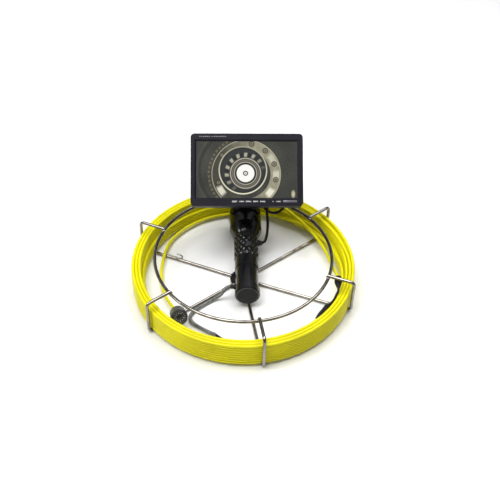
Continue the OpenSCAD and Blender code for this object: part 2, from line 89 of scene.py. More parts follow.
def new_group(name, inputs):
    """A shader group with the given inputs, as (name, socket type, default)."""
    tree = bpy.data.node_groups.new(name, "ShaderNodeTree")
    for label, kind, value in inputs:
        socket = tree.interface.new_socket(label, in_out="INPUT", socket_type=kind)
        if value is not None:
            socket.default_value = value
    return tree, tree.nodes.new("NodeGroupInput"), tree.nodes.new("NodeGroupOutput")


def maths(tree, operation, first, second):
    node = tree.nodes.new("ShaderNodeMath")
    node.operation = operation
    for socket, value in zip(node.inputs, (first, second)):
        if isinstance(value, (int, float)):
            socket.default_value = value
        else:
            tree.links.new(value, socket)
    return node.outputs[0]


def grain_group():
    """Fine surface grain: a roughness that varies and a normal that is slightly broken."""
    tree, given, out = new_group("surface_grain", [
        ("Vector", "NodeSocketVector", None), ("Scale", "NodeSocketFloat", 900.0),
        ("Height", "NodeSocketFloat", 0.00005), ("Roughness", "NodeSocketFloat", 0.4),
        ("Spread", "NodeSocketFloat", 0.1)])
    tree.interface.new_socket("Roughness", in_out="OUTPUT", socket_type="NodeSocketFloat")
    tree.interface.new_socket("Normal", in_out="OUTPUT", socket_type="NodeSocketVector")
    speck = tree.nodes.new("ShaderNodeTexNoise")
    speck.inputs["Detail"].default_value = 3
    tree.links.new(given.outputs["Vector"], speck.inputs["Vector"])
    tree.links.new(given.outputs["Scale"], speck.inputs["Scale"])
    smudge = tree.nodes.new("ShaderNodeTexNoise")
    smudge.inputs["Scale"].default_value = 38
    smudge.inputs["Detail"].default_value = 2
    tree.links.new(given.outputs["Vector"], smudge.inputs["Vector"])
    both = maths(tree, "ADD", speck.outputs["Fac"], smudge.outputs["Fac"])
    swing = maths(tree, "MULTIPLY", maths(tree, "SUBTRACT", both, 1.0), given.outputs["Spread"])
    rough = maths(tree, "ADD", given.outputs["Roughness"], swing)
    tree.links.new(rough, out.inputs["Roughness"])
    bump = tree.nodes.new("ShaderNodeBump")
    bump.inputs["Strength"].default_value = 1
    tree.links.new(given.outputs["Height"], bump.inputs["Distance"])
    tree.links.new(speck.outputs["Fac"], bump.inputs["Height"])
    tree.links.new(bump.outputs["Normal"], out.inputs["Normal"])
    return tree


def tone_group():
    """Slow drift of a colour between two tones, with a fine fleck on top."""
    tree, given, out = new_group("colour_drift", [
        ("Vector", "NodeSocketVector", None), ("Light", "NodeSocketColor", (0.5, 0.5, 0.5, 1)),
        ("Dark", "NodeSocketColor", (0.3, 0.3, 0.3, 1)), ("Scale", "NodeSocketFloat", 30.0),
        ("Fleck", "NodeSocketFloat", 0.15)])
    tree.interface.new_socket("Colour", in_out="OUTPUT", socket_type="NodeSocketColor")
    slow = tree.nodes.new("ShaderNodeTexNoise")
    slow.inputs["Detail"].default_value = 4
    tree.links.new(given.outputs["Vector"], slow.inputs["Vector"])
    tree.links.new(given.outputs["Scale"], slow.inputs["Scale"])
    fine = tree.nodes.new("ShaderNodeTexNoise")
    fine.inputs["Scale"].default_value = 1400
    tree.links.new(given.outputs["Vector"], fine.inputs["Vector"])
    fleck = maths(tree, "MULTIPLY", maths(tree, "SUBTRACT", fine.outputs["Fac"], 0.5),
                  given.outputs["Fleck"])
    spread = tree.nodes.new("ShaderNodeMapRange")
    spread.inputs["From Min"].default_value = 0.35
    spread.inputs["From Max"].default_value = 0.65
    tree.links.new(slow.outputs["Fac"], spread.inputs["Value"])
    share = maths(tree, "ADD", spread.outputs["Result"], fleck)
    mix = tree.nodes.new("ShaderNodeMix")
    mix.data_type = "RGBA"
    tree.links.new(share, mix.inputs["Factor"])
    tree.links.new(given.outputs["Dark"], mix.inputs["A"])
    tree.links.new(given.outputs["Light"], mix.inputs["B"])
    tree.links.new(mix.outputs["Result"], out.inputs["Colour"])
    return tree


GRAIN = grain_group()
DRIFT = tone_group()


def finish(name, light, dark, roughness, metallic=0.0, spread=0.08, scale=900.0,
           height=0.00002, drift=30.0, fleck=0.15, coat=0.0, transmission=0.0, gloss=0.5):
    """A procedural finish: two tones, a grain and a gloss."""
    material = bpy.data.materials.new(name)
    material.use_nodes = True
    tree = material.node_tree
    shader = tree.nodes["Principled BSDF"]
    shader.inputs["Metallic"].default_value = metallic
    shader.inputs["Specular IOR Level"].default_value = gloss
    shader.inputs["Coat Weight"].default_value = coat
    shader.inputs["Coat Roughness"].default_value = 0.12
    shader.inputs["Transmission Weight"].default_value = transmission
    place = tree.nodes.new("ShaderNodeTexCoord")
    grain = tree.nodes.new("ShaderNodeGroup")
    grain.node_tree = GRAIN
    tone = tree.nodes.new("ShaderNodeGroup")
    tone.node_tree = DRIFT
    for node in (grain, tone):
        tree.links.new(place.outputs["Object"], node.inputs["Vector"])
    grain.inputs["Scale"].default_value = scale
    grain.inputs["Height"].default_value = height
    grain.inputs["Roughness"].default_value = roughness
    grain.inputs["Spread"].default_value = spread
    tone.inputs["Light"].default_value = (*light, 1)
    tone.inputs["Dark"].default_value = (*dark, 1)
    tone.inputs["Scale"].default_value = drift
    tone.inputs["Fleck"].default_value = fleck
    tree.links.new(tone.outputs["Colour"], shader.inputs["Base Color"])
    tree.links.new(grain.outputs["Roughness"], shader.inputs["Roughness"])
    tree.links.new(grain.outputs["Normal"], shader.inputs["Normal"])
    return material


def glow(name, strength):
    """A display surface that shows the colour painted on the piece, under a glossy face."""
    material = bpy.data.materials.new(name)
    material.use_nodes = True
    tree = material.node_tree
    shader = tree.nodes["Principled BSDF"]
    shader.inputs["Base Color"].default_value = (0.01, 0.01, 0.012, 1)
    shader.inputs["Roughness"].default_value = 0.25
    shader.inputs["Specular IOR Level"].default_value = 0.15
    shader.inputs["Emission Strength"].default_value = strength
    paint = tree.nodes.new("ShaderNodeVertexColor")
    paint.layer_name = "picture"
    tree.links.new(paint.outputs["Color"], shader.inputs["Emission Color"])
    return material


FINISHES = {
    "chrome": finish("chrome_rod", (0.36, 0.34, 0.31), (0.24, 0.22, 0.20), 0.14, 1.0,
                     spread=0.10, scale=420, height=0.000006, drift=90),
    "cable_yellow": finish("yellow_jacket", (0.84, 0.78, 0.006), (0.75, 0.69, 0.004), 0.36,
                           spread=0.10, scale=700, height=0.00003, drift=22, gloss=0.25),
    "camera_shell": finish("camera_shell_grey", (0.055, 0.055, 0.058), (0.022, 0.022, 0.024),
                           0.45, 0.2, scale=1300, height=0.00006, drift=260, fleck=0.5),
    "steel": finish("satin_steel", (0.50, 0.50, 0.50), (0.40, 0.40, 0.40), 0.30, 1.0,
                    scale=1500, height=0.00001),
    "lens_glass": finish("lens_glass", (0.9, 0.93, 0.95), (0.85, 0.9, 0.93), 0.04, spread=0.02,
                         height=0.000001, transmission=1.0),
    # Lamp domes: the dark tone is their own grey; the much lighter tone that some lamps drift
    # to is a painted glint.
    "led_white": finish("led_dome_painted_glints", (0.62, 0.62, 0.58), (0.16, 0.16, 0.15), 0.15, coat=0.8,
                        drift=420),
    "board": finish("solder_mask", (0.02, 0.12, 0.05), (0.012, 0.08, 0.03), 0.4),
    "black_rubber": finish("black_rubber", (0.016, 0.016, 0.017), (0.008, 0.008, 0.009), 0.62,
                           scale=1600, height=0.00005, fleck=0.3, gloss=0.3),
    "handle_black": finish("black_anodised", (0.006, 0.006, 0.007), (0.003, 0.003, 0.004), 0.21,
                           spread=0.10, scale=1800, height=0.00001, gloss=0.6),
    "case_black": finish("moulded_case", (0.011, 0.010, 0.017), (0.007, 0.006, 0.011), 0.42,
                         scale=2200, height=0.00004, fleck=0.3, gloss=0.2),
    "key_grey": finish("moulded_key", (0.030, 0.030, 0.038), (0.020, 0.020, 0.026), 0.45),
    "seal_red": finish("seal_red", (0.40, 0.03, 0.02), (0.3, 0.02, 0.015), 0.5),
    "cell_wrap": finish("cell_wrap", (0.02, 0.08, 0.35), (0.015, 0.06, 0.28), 0.25, coat=0.3),
    "spring_brass": finish("spring_brass", (0.78, 0.58, 0.25), (0.7, 0.5, 0.2), 0.25, 1.0),
    "screen": finish("panel_frame", (0.012, 0.012, 0.014), (0.008, 0.008, 0.01), 0.3),
    "spiral_guard": finish("spiral_steel", (0.46, 0.47, 0.46), (0.20, 0.21, 0.20), 0.34, 0.85,
                           spread=0.14, scale=900, height=0.00003, drift=160, fleck=0.4),
}


def white_ink():
    return finish("white_ink", (0.85, 0.85, 0.85), (0.7, 0.7, 0.7), 0.6)


# ---- mesh helpers ------------------------------------------------------------------------

def placed(x, y, z):
    return Matrix.Translation(Vector((x, y, z)) * MM)


def turned(degrees, axis):
    return Matrix.Rotation(math.radians(degrees), 4, axis)


ON_HANDSET = placed(HANDSET_X, 0, HANDSET_Z) @ turned(-90, "X")
ON_MONITOR = placed(HANDSET_X, 92, 146.8) @ turned(42, "X")
ON_CAMERA = placed(-99.4, -72.8, 8.8) @ turned(CAMERA_TURN, "Z") @ turned(
    90 - CAMERA_RISE, "Y")
ON_PLUG = placed(140.4, -42, 50.8) @ turned(-94.5, "Z") @ turned(92, "Y")
ON_CONNECTOR = placed(130.8, -58.6, 8.4) @ turned(-124.6, "Z") @ turned(94, "Y")


def add_piece(name, bm, material, body, place=None, sharp=35, stands_for=()):
    """Turns a bmesh into a finished piece that rides on a CAD body."""
    if place is not None:
        bmesh.ops.transform(bm, matrix=place, verts=bm.verts)
    mesh = bpy.data.meshes.new(name)
    bm.to_mesh(mesh)
    bm.free()
    mesh.materials.append(material)
    mesh.shade_smooth()
    mesh.set_sharp_from_angle(angle=math.radians(sharp))
    piece = bpy.data.objects.new(name, mesh)
    scene.collection.objects.link(piece)
    if body:
        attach(piece, body)
    if stands_for:
        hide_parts(*stands_for)
    return piece


def lathe(outline, steps=64, bm=None):
    """Spins an outline of (radius, height) points about Z."""
    bm = bm or bmesh.new()
    corners = [bm.verts.new((r * MM, 0, z * MM)) for r, z in outline]
    edges = [bm.edges.new(pair) for pair in zip(corners, corners[1:])]
    bmesh.ops.spin(bm, geom=corners + edges, cent=(0, 0, 0), axis=(0, 0, 1),
                   angle=2 * math.pi, steps=steps, use_merge=True)
    bmesh.ops.remove_doubles(bm, verts=bm.verts, dist=1e-6)
    bmesh.ops.recalc_face_normals(bm, faces=bm.faces)
    return bm


def add_block(bm, low, high, edge=0.0):
    """A block between two corners, with rounded edges."""
    low, high = Vector(low) * MM, Vector(high) * MM
    made = bmesh.ops.create_cube(bm, size=1)["verts"]
    bmesh.ops.scale(bm, vec=high - low, verts=made)
    bmesh.ops.translate(bm, vec=(low + high) / 2, verts=made)
    if edge:
        rim = {e for v in made for e in v.link_edges}
        bmesh.ops.bevel(bm, geom=list(rim), offset=edge * MM, segments=2, profile=0.5,
                        affect="EDGES", material=-1)
    return bm


def rounded_slab(width, height, corner, low, high):
    """A plate with round corners in plan, between two heights."""
    bm = add_block(bmesh.new(), (-width / 2, -height / 2, low), (width / 2, height / 2, high))
    upright = [e for e in bm.edges if abs(e.verts[0].co.z - e.verts[1].co.z) > 1e-6]
    bmesh.ops.bevel(bm, geom=upright, offset=corner * MM, segments=6, profile=0.5,
                    affect="EDGES", material=-1)
    return bm


def carve(piece, cutters):
    """Cuts the cutters' shapes out of a piece."""
    tools = []
    for i, bm in enumerate(cutters):
        mesh = bpy.data.meshes.new(f"cutter_{i}")
        bm.to_mesh(mesh)
        bm.free()
        tool = bpy.data.objects.new(f"cutter_{i}", mesh)
        scene.collection.objects.link(tool)
        tools.append(tool)
        cut = piece.modifiers.new("cut", "BOOLEAN")
        cut.operation = "DIFFERENCE"
        cut.solver = "EXACT"
        cut.object = tool
    bpy.context.view_layer.update()
    sight = bpy.context.evaluated_depsgraph_get()
    mesh = bpy.data.meshes.new_from_object(piece.evaluated_get(sight))
    piece.modifiers.clear()
    piece.data = mesh
    for tool in tools:
        bpy.data.objects.remove(tool)
    mesh.shade_smooth()
    mesh.set_sharp_from_angle(angle=math.radians(35))
    return piece


def soften(piece, width, segments=2):
    """Rounds the sharp edges of a piece."""
    bevel = piece.modifiers.new("edge", "BEVEL")
    bevel.width = width * MM
    bevel.segments = segments
    bevel.limit_method = "ANGLE"
    bevel.angle_limit = math.radians(40)
    bevel.harden_normals = True
    return piece


def smooth_route(route, spacing):
    """Points on a smooth curve through a route's points, about spacing apart, in metres."""
    knots = [Vector(p) * MM for p in route]
    last = len(knots) - 1
    line = []
    for i in range(last):
        before, a, b = knots[max(i - 1, 0)], knots[i], knots[i + 1]
        after = knots[min(i + 2, last)]
        steps = max(1, round((b - a).length / (spacing * MM)))
        for s in range(steps):
            t = s / steps
            line.append(0.5 * (2 * a + (b - before) * t
                               + (2 * before - 5 * a + 4 * b - after) * t * t
                               + (3 * a - before - 3 * b + after) * t ** 3))
    return line + [knots[last]]


def route_length(line):
    return sum((b - a).length for a, b in zip(line, line[1:]))


def cable_curve(name, line, diameter, sides=3):
    """A round cable along a line, as a curve of one open spline."""
    curve = bpy.data.curves.new(name, "CURVE")
    curve.dimensions = "3D"
    curve.bevel_depth = diameter / 2 * MM
    curve.bevel_resolution = sides
    curve.use_fill_caps = True
    curve.twist_mode = "MINIMUM"
    spline = curve.splines.new("POLY")
    spline.points.add(len(line) - 1)
    for point, place in zip(spline.points, line):
        point.co = (*place, 1)
    spline.use_smooth = True
    cable = bpy.data.objects.new(name, curve)
    scene.collection.objects.link(cable)
    return cable


def as_mesh(piece, name):
    """A mesh copy of a curve, which takes the curve's place."""
    sight = bpy.context.evaluated_depsgraph_get()
    mesh = bpy.data.meshes.new_from_object(piece.evaluated_get(sight))
    mesh.name = name
    bpy.data.objects.remove(piece)
    made = bpy.data.objects.new(name, mesh)
    scene.collection.objects.link(made)
    return made


# ---- routes of the free cables, as in the CAD model ----------------------------------------

CABLE_D = 4.8
LAYER_PITCH = 4.95
BOTTOM_LAYER = 7.4
HEAD_RUN = [(152.6, -4, 27), (147.8, 22, 27), (138, 52, 24), (124, 80, 21), (104, 105, 18),
            (78, 125, 15), (48, 139.5, 12), (14, 147.4, 9.5), (-22, 146.4, 7.8),
            (-59, 135.6, 7.4), (-94, 110.5, 7.4), (-116.8, 78.7, 7.4), (-124.9, 43.5, 7.4),
            (-127, 11, 7.4), (-124, -18, 7.4), (-118.6, -40, 7.4), (-111.6, -53.5, 7.4),
            (-106.2, -62.8, 7.4), (-102, -69.2, 7.7), (-99.9, -72, 8.8)]
PLUG_RUN = [(8, 164.4, 46.9), (24, 160, 47.1), (38, 154.5, 46.6), (50, 147.5, 46.4),
            (61, 139, 40.5), (72, 129, 35), (84, 116.5, 33), (97, 98.5, 33), (108, 80, 33.6),
            (117, 60.5, 35), (124.5, 40, 36.6), (129.6, 20, 39), (132.6, -2, 43.4),
            (134.9, -18, 47.2), (138, -32, 50), (140.4, -42.4, 50.8)]
PIGTAIL_D = 3.6
PIGTAIL = [(138.8, -63, 50), (138.5, -66.6, 49.6), (137.6, -69.6, 47.4), (135.8, -70.8, 43.4),
           (134.8, -70.6, 38), (133.4, -69.6, 31), (131.9, -67.6, 24.6), (131, -65.4, 19),
           (132.2, -61.6, 14.4), (133.4, -57.4, 11.6), (132.6, -55.9, 9.6),
           (130.9, -58.4, 8.4)]
LEAD_D = 4
LEAD = [(105.2, -95.7, 5.2), (98, -104.4, 4.2), (88, -111.8, 3), (74, -121, 2.4),
        (58, -129, 2.4), (42, -134.6, 2.6), (30, -137.4, 5), (18, -138.6, 7.5), (6, -138.6, 5),
        (-6, -136.4, 2.6), (-18, -131.4, 2.4), (-30, -123, 2.6), (-41, -113, 3.2)]
GUARD_D = 5.8
GUARD = [(-41.4, -113.4, 3.3), (-50, -108.8, 3.3), (-60, -102.6, 3.3), (-70, -95.4, 3.3),
         (-77.2, -88, 3.3), (-80, -80.6, 3.3), (-78.4, -73.4, 3.3), (-73, -65.6, 3.3),
         (-63.6, -56.6, 3.3), (-53, -48.4, 3.3), (-43.6, -42, 4.6), (-35, -39.6, 9.6),
         (-30, -38.6, 17.5), (-25.4, -38.1, 24), (-20.4, -38, 26)]
MONITOR_LEAD_D = 4.4
MONITOR_LEAD = [(31, 57, 26), (35.4, 60.6, 26), (38.4, 71, 26), (40.4, 85, 26.4),
                (41.4, 98, 29), (41, 106.4, 36), (40, 109.4, 45), (40.6, 109.8, 55),
                (44.4, 109.4, 63.4), (51, 109, 68.4), (58.4, 109, 68.6), (63.8, 109.4, 64),
                (65.8, 110.2, 56.6), (64, 111.6, 48.4), (58, 113, 41.8), (49.8, 114, 39.4),
                (41.4, 114.6, 43), (36, 115.2, 51), (34.6, 116, 62), (35, 117, 78),
                (36.4, 118, 96), (38, 118.4, 108), (36.4, 118, 116), (31.8, 117.5, 118.6),
                (26, 117.4, 118.6)]


def ease(t):
    t = min(max(t, 0), 1)
    return t * t * (3 - 2 * t)


def winding():
    """Points of the wound turns. Each turn is level apart from a short jog to the next one.

    The turns go down the outer column, up the next, down the third and up the short one.
    """
    jog, column_step = 30, 4.8
    drops = [(85 + 360 * k, -LAYER_PITCH) for k in range(8)]
    drops += [(25 + 360 * (9 + k), LAYER_PITCH) for k in range(7)]
    drops += [(-35 + 360 * (17 + k), -LAYER_PITCH) for k in range(7)]
    drops += [(-95 + 360 * (25 + k), LAYER_PITCH) for k in range(4)]
    shifts = [55 + 360 * 8, -5 + 360 * 16, -65 + 360 * 24]
    start, end, pace = 100, -10 + 360 * 28, 6
    points = []
    for angle in range(start, end + 1, pace):
        height = BOTTOM_LAYER + 8 * LAYER_PITCH
        height += sum(step * ease((angle - at) / jog) for at, step in drops)
        radius = 167.6 - sum(column_step * ease((angle - at) / jog) for at in shifts)
        radius += 0.12 * noise.noise((angle / 47, 3.1, 0))
        turn = math.radians(angle)
        points.append((radius * math.cos(turn), radius * math.sin(turn), height))
    return points


def push_cable():
    """The whole push cable: from the plug, through the wound turns, to the camera head."""
    onto_coil = [(-10.2, 166.4, 46.0)]
    route = PLUG_RUN[::-1] + onto_coil + winding() + HEAD_RUN
    line = smooth_route(route, 12)
    cable = cable_curve("push_cable", line, CABLE_D, 2)
    cable.data.materials.append(FINISHES["cable_yellow"])
    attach(cable, "reel")
    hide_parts("push_cable_coil", "push_cable_head_run", "push_cable_plug_run")


def crossing_lead():
    """The handset's lead and its spiral guard, laid as fixed meshes that do not stretch as the
    handset lifts out, so at full lift their end stays behind the handset.
    """
    route = GUARD[::-1] + LEAD[::-1][1:]
    line = smooth_route([(-18.6, GLAND_Y, HANDSET_Z)] + route, 6)
    lead = as_mesh(cable_curve("handset_cable", line, LEAD_D, 2), "handset_cable")
    lead.data.materials.clear()
    lead.data.materials.append(FINISHES["black_rubber"])
    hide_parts("handset_lead")
    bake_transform(lead)

    wire, pitch, around = 0.9, 1.1, 10
    core = smooth_route([(-19.3, GLAND_Y, HANDSET_Z)] + GUARD[::-1], 2)
    total = route_length(core)
    coils = []
    done, turns = 0.0, 0.0
    radius = (GUARD_D - wire) / 2 * MM
    side = Vector((0, 0, 1))
    steps = int(total / (pitch * MM) * around)
    at, piece_start = 0, 0.0
    for i in range(steps + 1):
        along = total * i / steps
        while at < len(core) - 2 and along > piece_start + (core[at + 1] - core[at]).length:
            piece_start += (core[at + 1] - core[at]).length
            at += 1
        a, b = core[at], core[at + 1]
        heading = (b - a).normalized()
        centre = a + heading * (along - piece_start)
        side = (side - heading * side.dot(heading)).normalized()
        other = heading.cross(side)
        phase = 2 * math.pi * i / around
        coils.append(centre + radius * (math.cos(phase) * side + math.sin(phase) * other))
    guard = as_mesh(cable_curve("spiral_guard", coils, wire, 0), "spiral_guard")
    guard.data.materials.clear()
    guard.data.materials.append(FINISHES["spiral_guard"])
    guard.data.shade_smooth()
    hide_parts("lead_spring_guard")
    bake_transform(guard)


def loose_leads():
    """The pigtail between the plug and the connector, and the monitor's lead."""
    line = smooth_route(PIGTAIL[::-1], 4)
    pigtail = cable_curve("pigtail_cable", line, PIGTAIL_D, 2)
    pigtail.data.materials.append(FINISHES["black_rubber"])
    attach(pigtail, "reel")
    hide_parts("pigtail_lead")
    line = smooth_route(MONITOR_LEAD, 4)
    lead = cable_curve("monitor_cable", line, MONITOR_LEAD_D, 2)
    lead.data.materials.append(FINISHES["black_rubber"])
    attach(lead, "handset")
    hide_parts("monitor_lead")


# ---- reel ----------------------------------------------------------------------------------

def weld_beads():
    """Small weld fillets where the arms meet the top ring and the hub."""
    bm = bmesh.new()
    welds = ((RING_R, 58.4, (3.4, 3.2, 1.2)), (HUB_R - 0.4, 3.4, (1.6, 3.8, 2.2)))
    for i, trim in enumerate(ARM_TRIM):
        turn = turned(ARM_START + 60 * i + trim, "Z")
        for radius, height, shape in welds:
            made = bmesh.ops.create_icosphere(bm, subdivisions=3, radius=MM)["verts"]
            for v in made:
                v.co *= 1 + 0.10 * noise.noise(v.co * 2300 + Vector((i * 3.7, radius, 0)))
            bmesh.ops.scale(bm, vec=shape, verts=made)
            bmesh.ops.translate(bm, vec=(radius * MM, 0, height * MM), verts=made)
            bmesh.ops.transform(bm, matrix=turn, verts=made)
    add_piece("weld_beads", bm, FINISHES["chrome"], "reel")


# ---- camera head ---------------------------------------------------------------------------

def camera_face():
    """The camera head's front: a domed face with rings of lamps round a small lens."""
    face_z = 37
    outline = [(0, 3.2), (2.3, 3.2), (2.5, 4.4), (3.3, 5.0), (3.6, 4.6), (5.0, 5.0), (7.6, 4.9),
               (9.2, 4.6), (9.6, 3.6), (9.6, 0.4), (0, 0.4)]
    face = lathe([(r, z + face_z) for r, z in outline])
    add_piece("camera_face", face, FINISHES["camera_shell"], "reel", ON_CAMERA,
              stands_for=["camera_window"])
    lens = lathe([(0, 41.5), (1.1, 41.3), (2.0, 40.7), (2.3, 40.1), (2.3, 39.6), (0, 39.6)], 40)
    add_piece("camera_lens", lens, FINISHES["lens_glass"], "reel", ON_CAMERA)
    lamps = bmesh.new()
    for count, radius, size in ((10, 5.6, 0.75), (16, 7.9, 0.65)):
        for i in range(count):
            made = bmesh.ops.create_uvsphere(lamps, u_segments=12, v_segments=8,
                                             radius=size * MM)["verts"]
            place = turned(360 / count * i + radius, "Z") @ placed(radius, 0, face_z + 4.85)
            bmesh.ops.transform(lamps, matrix=place, verts=made)
    add_piece("camera_lamps", lamps, FINISHES["led_white"], "reel", ON_CAMERA,
              stands_for=["camera_led_ring"])


# ---- handset -------------------------------------------------------------------------------

def grip():
    """The grip: staggered lobes moulded round the handle."""
    start, end, low, high, across, row = 17.5, 68.0, 17.2, 19.0, 14, 6.2
    rows = 128
    outline = [(15.9, start)] + [(high, start + (end - start) * i / rows)
                                 for i in range(rows + 1)] + [(15.9, end)]
    bm = lathe(outline, 168)
    for v in bm.verts:
        radius = math.hypot(v.co.x, v.co.y)
        if radius < 0.0165:
            continue
        height = v.co.z / MM
        turn = math.atan2(v.co.y, v.co.x)
        lobe = 0.5 + 0.5 * math.cos(across * turn) * math.cos(math.pi * (height - start) / row)
        lobe = ease(min(1, lobe * 1.35)) * ease((height - start) / 1.6) * ease(
            (end - height) / 1.6)
        wanted = (low + (high - low) * lobe) * MM
        v.co.x *= wanted / radius
        v.co.y *= wanted / radius
    bmesh.ops.recalc_face_normals(bm, faces=bm.faces)
    add_piece("grip_lobes", bm, FINISHES["handle_black"], "handset", ON_HANDSET,
              sharp=50, stands_for=["grip_sleeve"])


def button_trim():
    """A raised seat round the power button."""
    place = placed(HANDSET_X, 36, HANDSET_Z) @ turned(10, "Y")
    seat = lathe([(4.75, 17.2), (4.75, 19.5), (5.0, 19.9), (6.0, 19.9), (6.8, 19.2),
                  (7.4, 17.2), (4.75, 17.2)], 48)
    add_piece("button_seat", seat, FINISHES["handle_black"], "handset", place)


# ---- monitor -------------------------------------------------------------------------------

MON_W, MON_H = 171, 111
SCREEN_W, SCREEN_H, SCREEN_UP = 154, 86.6, 0.5
KEY_X = [-18.8, -8.2, 2.4, 13, 23.6, 47.8]
KEY_Y, KEY_W, KEY_H = -48.7, 9, 4


def frustum(bottom, top, low, high, up):
    """A tapered cutter: bottom and top are (width, height) at the two heights."""
    bm = bmesh.new()
    made = bmesh.ops.create_cube(bm, size=1)["verts"]
    for v in made:
        size, level = (top, high) if v.co.z > 0 else (bottom, low)
        v.co = Vector((v.co.x * size[0], v.co.y * size[1] + up, level)) * MM
    return bm


def monitor_front():
    """The monitor's bezel, with a sloping rim round the picture and slots for the keys."""
    bm = rounded_slab(MON_W, MON_H, 6, -6, 0)
    bezel = add_piece("monitor_front", bm, FINISHES["case_black"], None)
    cutters = [frustum((SCREEN_W, SCREEN_H), (SCREEN_W, SCREEN_H), -8, 1, SCREEN_UP),
               frustum((SCREEN_W, SCREEN_H), (SCREEN_W + 5, SCREEN_H + 5), -1.9, 0.1,
                       SCREEN_UP),
               frustum((168, 96), (168, 96), -8, -2.4, SCREEN_UP)]
    for x in KEY_X:
        slot = rounded_slab(KEY_W + 0.3, KEY_H + 0.3, 1.1, -5, 5)
        bmesh.ops.translate(slot, vec=(x * MM, KEY_Y * MM, 0), verts=slot.verts)
        cutters.append(slot)
    carve(bezel, cutters)
    bezel.data.transform(ON_MONITOR)
    soften(bezel, 0.55)
    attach(bezel, "monitor")
    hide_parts("monitor_bezel")


def band(value, low, high, soft=0.5):
    """1 between low and high, fading over soft on either side."""
    return ease((value - low + soft) / (2 * soft)) * ease((high + soft - value) / (2 * soft))


def over(under, colour, share):
    return [u + (c - u) * share for u, c in zip(under, colour)]


def pipe_view(x, y):
    """Colour of the picture at a point in millimetres from its centre: a flanged pipe."""
    shade = 0.5 + 0.5 * noise.noise((x / 21, y / 21, 0.4))
    fine = noise.noise((x / 2.6, y / 2.6, 7.0))
    colour = over([0.030, 0.032, 0.024], [0.066, 0.066, 0.052], shade)
    colour = [c * (1 + 0.25 * fine) for c in colour]
    wall = math.hypot(x + 8, y + 2)
    colour = over(colour, [0.022, 0.024, 0.018], 0.75 * band(wall, 62, 66, 2) * (x < 0))
    colour = over(colour, [0.11, 0.11, 0.08], 0.5 * band(wall, 68.5, 69.5, 1) * (x < 0))

    rim = math.hypot(x + 1, y + 7)
    angle = math.degrees(math.atan2(y + 7, x + 1))
    rivets = 0.5 + 0.5 * math.cos(math.radians(angle) * 52)
    left = ease((-x - 4) / 14)
    colour = over(colour, [0.16, 0.14, 0.08], left * band(rim, 55.5, 58.5, 0.8) * 0.8)
    colour = over(colour, [0.03, 0.028, 0.016],
                  left * band(rim, 55.8, 58.2, 0.6) * ease(rivets * 2 - 0.9))
    lit = 0.16 + 0.72 * ease(0.5 + 0.62 * math.cos(math.radians(angle - 12)))
    lit += 0.26 * noise.noise((x / 5, y / 5, 2.0)) * lit
    flange = band(rim, 37, 52.5, 0.7)
    colour = over(colour, [0.36 * lit, 0.34 * lit, 0.235 * lit], flange)
    colour = over(colour, [0.50, 0.48, 0.36], 0.75 * band(rim, 51.6, 52.8, 0.5))
    for low, high, tone in ((-46, -30, 0.9), (-12, 6, 0.55), (18, 40, 0.4), (205, 222, 0.8)):
        spot = band(angle % 360 if low > 180 else angle, low, high, 4)
        colour = over(colour, [0.86, 0.84, 0.68], tone * spot * band(rim, 41, 50, 1.2))

    for bx, by in ((28.2, 29), (41.5, 8.7), (44, -15.3), (-43.3, -20.1), (7.4, 39.6),
                   (-38, 22)):
        bolt = math.hypot(x - bx, y - by)
        colour = over(colour, [0.035, 0.032, 0.022], band(bolt, 2.9, 4.3, 0.4))
        colour = over(colour, [0.20, 0.18, 0.12], band(bolt, -1, 2.6, 0.5))
        colour = over(colour, [0.02, 0.02, 0.015], band(bolt, -1, 0.9, 0.4))

    bowl = math.hypot(x + 6, y + 1)
    colour = over(colour, [0.030, 0.033, 0.030], band(bowl, -1, 35.4, 0.8))
    ring_lit = 0.55 + 0.45 * math.cos(math.atan2(y + 1, x + 6) + math.pi / 2)
    colour = over(colour, [0.30 + 0.55 * ring_lit, 0.29 + 0.53 * ring_lit,
                           0.21 + 0.42 * ring_lit], band(bowl, 35.2, 37.0, 0.45))
    colour = over(colour, [0.02, 0.02, 0.016], 0.8 * band(bowl, 32.4, 34.4, 0.6))

    hub = math.hypot(x + 2.1, y + 5.7)
    around = math.atan2(y + 5.7, x + 2.1)
    vane = 0.5 + 0.5 * math.cos(around * 15 + hub * 0.06)
    facing = ease(0.5 + 0.75 * math.cos(around - 2.2))
    colour = over(colour, [0.42, 0.40, 0.30],
                  facing * ease(vane * 2.2 - 1.0) * band(hub, 25.5, 31.5, 1.0))
    colour = over(colour, [0.016, 0.017, 0.014], facing * ease(1.1 - vane * 2.4)
                  * band(hub, 25, 32, 0.8))
    for low, high, tone in ((-1, 24.6, (0.055, 0.052, 0.042)), (22.2, 23.6, (0.50, 0.47, 0.38)),
                            (19.2, 20.8, (0.17, 0.16, 0.12)), (16.4, 17.8, (0.42, 0.40, 0.32)),
                            (13.8, 16, (0.012, 0.012, 0.011)), (-1, 13.5, (0.96, 0.95, 0.90)),
                            (2.2, 3.9, (0.03, 0.03, 0.03)), (-1, 0.9, (0.08, 0.08, 0.08))):
        colour = over(colour, tone, band(hub, low, high, 0.4))
    glint = math.hypot((x - 70.5) / 2.6, (y + 37.5) / 5.2)
    return over(colour, [0.62, 0.56, 0.38], 0.85 * ease(1.5 - glint))


def monitor_picture():
    """The picture on the display, painted point by point on a fine flat grid."""
    across, up = 372, 210
    bm = bmesh.new()
    bmesh.ops.create_grid(bm, x_segments=across, y_segments=up, size=0.5)
    bmesh.ops.scale(bm, vec=(SCREEN_W * MM, SCREEN_H * MM, 1), verts=bm.verts)
    paint = bm.verts.layers.float_color.new("picture")
    for v in bm.verts:
        v[paint] = (*pipe_view(v.co.x / MM, v.co.y / MM), 1)
    place = ON_MONITOR @ placed(0, SCREEN_UP, -2.45)
    add_piece("monitor_picture", bm, glow("picture_glow", 1.0), "monitor", place)


